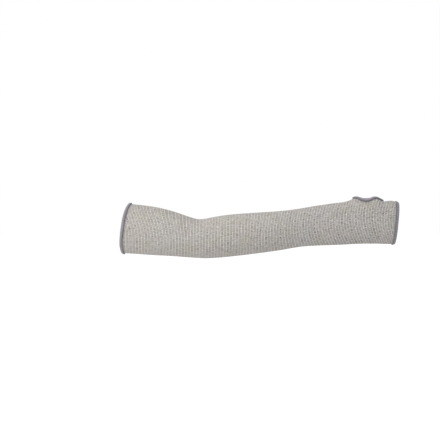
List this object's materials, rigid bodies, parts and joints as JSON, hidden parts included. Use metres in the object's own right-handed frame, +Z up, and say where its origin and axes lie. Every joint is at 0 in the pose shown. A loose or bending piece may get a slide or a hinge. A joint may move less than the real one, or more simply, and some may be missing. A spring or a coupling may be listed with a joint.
{
  "type": "cut resistant sleeve",
  "caption": "Knitted cut resistant sleeve that covers one arm from the upper arm to the palm, with a thumb slot and overlocked edges, shaped as worn.",
  "frame": {"origin": "middle of the upper arm opening", "axes": "+X along the arm from the upper arm to the hand, +Z up on the thumb side, +Y away from the side that the picture shows"},
  "size_m": [0.5732, 0.1056, 0.1281],
  "materials": {
    "knit": "flecked light grey-beige knitted yarn",
    "edging_thread": "grey textured overlock thread"
  },
  "bodies": {
    "root": {"sleeve_tube": "knit", "upper_arm_edging": "edging_thread", "hand_edging": "edging_thread", "thumb_edging": "edging_thread"}
  },
  "joints": []
}
